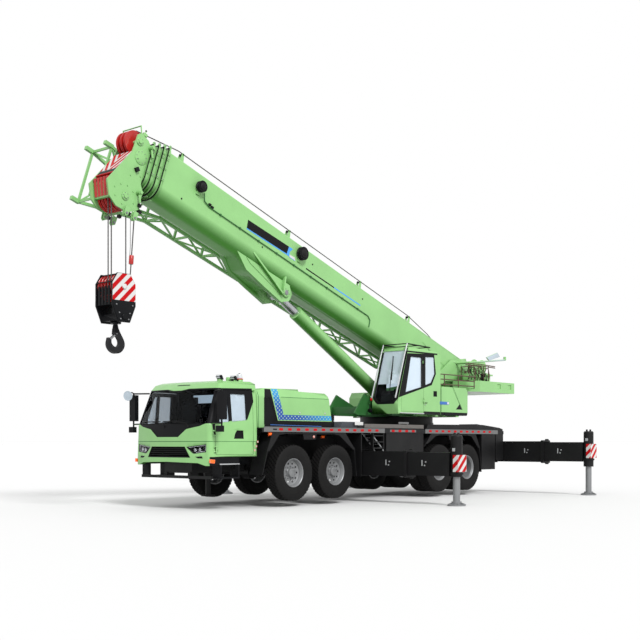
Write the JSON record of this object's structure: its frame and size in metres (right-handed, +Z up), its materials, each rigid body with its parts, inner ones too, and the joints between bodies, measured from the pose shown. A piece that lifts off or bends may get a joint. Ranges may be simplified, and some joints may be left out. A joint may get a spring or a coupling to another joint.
{
  "type": "mobile crane",
  "caption": "Truck-mounted telescopic crane on outriggers: slewing upperworks, luffing box boom, stowed lattice jib and hook block.",
  "frame": {"origin": "centre of the bounding box on the ground under the outrigger pads", "axes": "+X towards the front of the carrier, +Y to its left, +Z up"},
  "size_m": [13.8986, 8.18, 7.7852],
  "materials": {
    "paint_green": "gloss",
    "paint_dark": "satin",
    "frame_black": "satin",
    "steel_rod": "polished",
    "silver": "satin",
    "cast_red": "satin",
    "tyre": "matte",
    "glass": "polished",
    "trim": "matte",
    "rope": "satin",
    "iron": "rough"
  },
  "bodies": {
    "chassis": {"chassis_frame": "frame_black", "deck": "frame_black", "cab_shell": "paint_green", "cab_glass": "glass", "cab_interior": "trim", "engine_hood": "paint_green", "engine": "iron", "fenders": "frame_black", "side_boxes": "frame_black", "axle_beams": "frame_black", "slew_ring": "frame_black"},
    "cab_door_left": {"cab_door_left": "paint_green"},
    "cab_door_right": {"cab_door_right": "paint_green"},
    "knuckle_1_left": {"knuckle_1_left": "frame_black"},
    "wheel_1_left": {"wheel_1_left": "tyre"},
    "knuckle_1_right": {"knuckle_1_right": "frame_black"},
    "wheel_1_right": {"wheel_1_right": "tyre"},
    "knuckle_2_left": {"knuckle_2_left": "frame_black"},
    "wheel_2_left": {"wheel_2_left": "tyre"},
    "knuckle_2_right": {"knuckle_2_right": "frame_black"},
    "wheel_2_right": {"wheel_2_right": "tyre"},
    "wheel_3_left": {"wheel_3_left": "tyre"},
    "wheel_3_right": {"wheel_3_right": "tyre"},
    "wheel_4_left": {"wheel_4_left": "tyre"},
    "wheel_4_right": {"wheel_4_right": "tyre"},
    "outrigger_front_left_beam": {"outrigger_front_left_beam": "frame_black"},
    "outrigger_front_left_arm": {"outrigger_front_left_arm": "frame_black"},
    "jack_front_left": {"jack_front_left": "silver"},
    "outrigger_front_right_beam": {"outrigger_front_right_beam": "frame_black"},
    "outrigger_front_right_arm": {"outrigger_front_right_arm": "frame_black"},
    "jack_front_right": {"jack_front_right": "silver"},
    "outrigger_rear_left_beam": {"outrigger_rear_left_beam": "frame_black"},
    "outrigger_rear_left_arm": {"outrigger_rear_left_arm": "frame_black"},
    "jack_rear_left": {"jack_rear_left": "silver"},
    "outrigger_rear_right_beam": {"outrigger_rear_right_beam": "frame_black"},
    "outrigger_rear_right_arm": {"outrigger_rear_right_arm": "frame_black"},
    "jack_rear_right": {"jack_rear_right": "silver"},
    "front_jack": {"front_jack": "frame_black"},
    "superstructure": {"turntable": "paint_green", "op_cab_shell": "paint_green", "op_cab_glass": "glass", "op_cab_interior": "trim", "side_housings": "paint_green", "counterweight": "paint_green", "winches": "paint_green"},
    "op_cab_door": {"op_cab_door": "paint_green"},
    "boom": {"boom_base": "paint_green", "jib_lattice": "paint_green"},
    "boom_section_2": {"boom_section_2": "paint_green"},
    "boom_section_3": {"boom_section_3": "paint_green"},
    "boom_section_4": {"boom_section_4": "paint_green"},
    "boom_section_5": {"boom_section_5": "paint_green", "head_sheaves": "cast_red"},
    "luff_barrel": {"luff_barrel": "paint_green"},
    "luff_rod": {"luff_rod": "steel_rod"},
    "rope_falls": {"hoist_ropes": "rope"},
    "hook_block": {"hook_block": "paint_dark"},
    "hook": {"hook": "iron"}
  },
  "joints": [
    {"name": "cab_door_left", "type": "hinge", "parent": "chassis", "child": "cab_door_left", "pos_m": [4.823, 1.196, 1.8], "axis": [0, 0, -1], "range_deg": [0, 68]},
    {"name": "cab_door_right", "type": "hinge", "parent": "chassis", "child": "cab_door_right", "pos_m": [4.823, -1.196, 1.8], "axis": [0, 0, 1], "range_deg": [0, 68]},
    {"name": "steer_1_left", "type": "hinge", "parent": "chassis", "child": "knuckle_1_left", "pos_m": [2.67, 1.06, 0.74], "axis": [0, 0, 1], "range_deg": [-35, 35]},
    {"name": "roll_1_left", "type": "hinge", "parent": "knuckle_1_left", "child": "wheel_1_left", "pos_m": [2.67, 1.2425, 0.74], "axis": [0, 1, 0], "continuous": true},
    {"name": "steer_1_right", "type": "hinge", "parent": "chassis", "child": "knuckle_1_right", "pos_m": [2.67, -1.06, 0.74], "axis": [0, 0, 1], "range_deg": [-35, 35]},
    {"name": "roll_1_right", "type": "hinge", "parent": "knuckle_1_right", "child": "wheel_1_right", "pos_m": [2.67, -1.2425, 0.74], "axis": [0, 1, 0], "continuous": true},
    {"name": "steer_2_left", "type": "hinge", "parent": "chassis", "child": "knuckle_2_left", "pos_m": [1.25, 1.06, 0.74], "axis": [0, 0, 1], "range_deg": [-25.9, 25.9]},
    {"name": "roll_2_left", "type": "hinge", "parent": "knuckle_2_left", "child": "wheel_2_left", "pos_m": [1.25, 1.2425, 0.74], "axis": [0, 1, 0], "continuous": true},
    {"name": "steer_2_right", "type": "hinge", "parent": "chassis", "child": "knuckle_2_right", "pos_m": [1.25, -1.06, 0.74], "axis": [0, 0, 1], "range_deg": [-25.9, 25.9]},
    {"name": "roll_2_right", "type": "hinge", "parent": "knuckle_2_right", "child": "wheel_2_right", "pos_m": [1.25, -1.2425, 0.74], "axis": [0, 1, 0], "continuous": true},
    {"name": "roll_3_left", "type": "hinge", "parent": "chassis", "child": "wheel_3_left", "pos_m": [-2.935, 1.0675, 0.74], "axis": [0, 1, 0], "continuous": true},
    {"name": "roll_3_right", "type": "hinge", "parent": "chassis", "child": "wheel_3_right", "pos_m": [-2.935, -1.0675, 0.74], "axis": [0, 1, 0], "continuous": true},
    {"name": "roll_4_left", "type": "hinge", "parent": "chassis", "child": "wheel_4_left", "pos_m": [-4.23, 1.0675, 0.74], "axis": [0, 1, 0], "continuous": true},
    {"name": "roll_4_right", "type": "hinge", "parent": "chassis", "child": "wheel_4_right", "pos_m": [-4.23, -1.0675, 0.74], "axis": [0, 1, 0], "continuous": true},
    {"name": "outrigger_front_left_inner", "type": "slide", "parent": "chassis", "child": "outrigger_front_left_beam", "axis": [0, 1, 0], "range_m": [-1.58, 0]},
    {"name": "outrigger_front_left_outer", "type": "slide", "parent": "outrigger_front_left_beam", "child": "outrigger_front_left_arm", "axis": [0, 1, 0], "range_m": [-1.065, 0]},
    {"name": "jack_front_left", "type": "slide", "parent": "outrigger_front_left_arm", "child": "jack_front_left", "axis": [0, 0, -1], "range_m": [-0.5, 0.12]},
    {"name": "outrigger_front_right_inner", "type": "slide", "parent": "chassis", "child": "outrigger_front_right_beam", "axis": [0, -1, 0], "range_m": [-1.58, 0]},
    {"name": "outrigger_front_right_outer", "type": "slide", "parent": "outrigger_front_right_beam", "child": "outrigger_front_right_arm", "axis": [0, -1, 0], "range_m": [-1.065, 0]},
    {"name": "jack_front_right", "type": "slide", "parent": "outrigger_front_right_arm", "child": "jack_front_right", "axis": [0, 0, -1], "range_m": [-0.5, 0.12]},
    {"name": "outrigger_rear_left_inner", "type": "slide", "parent": "chassis", "child": "outrigger_rear_left_beam", "axis": [0, 1, 0], "range_m": [-1.58, 0]},
    {"name": "outrigger_rear_left_outer", "type": "slide", "parent": "outrigger_rear_left_beam", "child": "outrigger_rear_left_arm", "axis": [0, 1, 0], "range_m": [-1.065, 0]},
    {"name": "jack_rear_left", "type": "slide", "parent": "outrigger_rear_left_arm", "child": "jack_rear_left", "axis": [0, 0, -1], "range_m": [-0.5, 0.12]},
    {"name": "outrigger_rear_right_inner", "type": "slide", "parent": "chassis", "child": "outrigger_rear_right_beam", "axis": [0, -1, 0], "range_m": [-1.58, 0]},
    {"name": "outrigger_rear_right_outer", "type": "slide", "parent": "outrigger_rear_right_beam", "child": "outrigger_rear_right_arm", "axis": [0, -1, 0], "range_m": [-1.065, 0]},
    {"name": "jack_rear_right", "type": "slide", "parent": "outrigger_rear_right_arm", "child": "jack_rear_right", "axis": [0, 0, -1], "range_m": [-0.5, 0.12]},
    {"name": "front_jack", "type": "slide", "parent": "chassis", "child": "front_jack", "axis": [0, 0, -1], "range_m": [0, 0.23]},
    {"name": "slew", "type": "hinge", "parent": "chassis", "child": "superstructure", "pos_m": [-2.915, 0, 2.07], "axis": [0, 0, 1], "continuous": true},
    {"name": "op_cab_door", "type": "hinge", "parent": "superstructure", "child": "op_cab_door", "pos_m": [-2.247, 1.376, 2.95], "axis": [0, 0, 1], "range_deg": [0, 75]},
    {"name": "luff", "type": "hinge", "parent": "superstructure", "child": "boom", "pos_m": [-5.355, 0, 3.555], "axis": [0, -1, 0], "range_deg": [0, 61.5]},
    {"name": "telescope_2", "type": "slide", "parent": "boom", "child": "boom_section_2", "axis": [0.9483, 0, 0.3173], "range_m": [0, 8.7]},
    {"name": "telescope_3", "type": "slide", "parent": "boom_section_2", "child": "boom_section_3", "axis": [0.9483, 0, 0.3173], "range_m": [0, 8.7]},
    {"name": "telescope_4", "type": "slide", "parent": "boom_section_3", "child": "boom_section_4", "axis": [0.9483, 0, 0.3173], "range_m": [0, 8.7]},
    {"name": "telescope_5", "type": "slide", "parent": "boom_section_4", "child": "boom_section_5", "axis": [0.9483, 0, 0.3173], "range_m": [0, 8.7]},
    {"name": "luff_barrel", "type": "hinge", "parent": "superstructure", "child": "luff_barrel", "pos_m": [-2.4, 0, 2.52], "axis": [0, -1, 0], "range_deg": [0, 65.9]},
    {"name": "luff_rod", "type": "slide", "parent": "luff_barrel", "child": "luff_rod", "axis": [0.8717, 0, 0.4901], "range_m": [0, 3.17]},
    {"name": "hook_plumb", "type": "hinge", "parent": "boom_section_5", "child": "rope_falls", "pos_m": [6.45934, 0, 6.28481], "axis": [0, -1, 0], "range_deg": [-61.5, 0]},
    {"name": "hoist", "type": "slide", "parent": "rope_falls", "child": "hook_block", "axis": [0, 0, -1], "range_m": [-1.1, 0], "deforming": ["hoist_ropes"]},
    {"name": "hook_swivel", "type": "hinge", "parent": "hook_block", "child": "hook", "pos_m": [6.45934, 0, 3.9], "axis": [0, 0, 1], "continuous": true}
  ],
  "couplings": [
    {"joint": "steer_1_right", "follows": "steer_1_left", "ratio": 1},
    {"joint": "steer_2_left", "follows": "steer_1_left", "ratio": 0.74},
    {"joint": "steer_2_right", "follows": "steer_1_left", "ratio": 0.74},
    {"joint": "outrigger_front_left_outer", "follows": "outrigger_front_left_inner", "ratio": 0.674},
    {"joint": "outrigger_front_right_outer", "follows": "outrigger_front_right_inner", "ratio": 0.674},
    {"joint": "outrigger_rear_left_outer", "follows": "outrigger_rear_left_inner", "ratio": 0.674},
    {"joint": "outrigger_rear_right_outer", "follows": "outrigger_rear_right_inner", "ratio": 0.674},
    {"joint": "telescope_3", "follows": "telescope_2", "ratio": 1},
    {"joint": "telescope_4", "follows": "telescope_2", "ratio": 1},
    {"joint": "telescope_5", "follows": "telescope_2", "ratio": 1},
    {"joint": "luff_barrel", "follows": "luff", "ratio": 1.07},
    {"joint": "luff_rod", "follows": "luff", "m_per_rad": 2.951},
    {"joint": "hook_plumb", "follows": "luff", "ratio": -1}
  ]
}
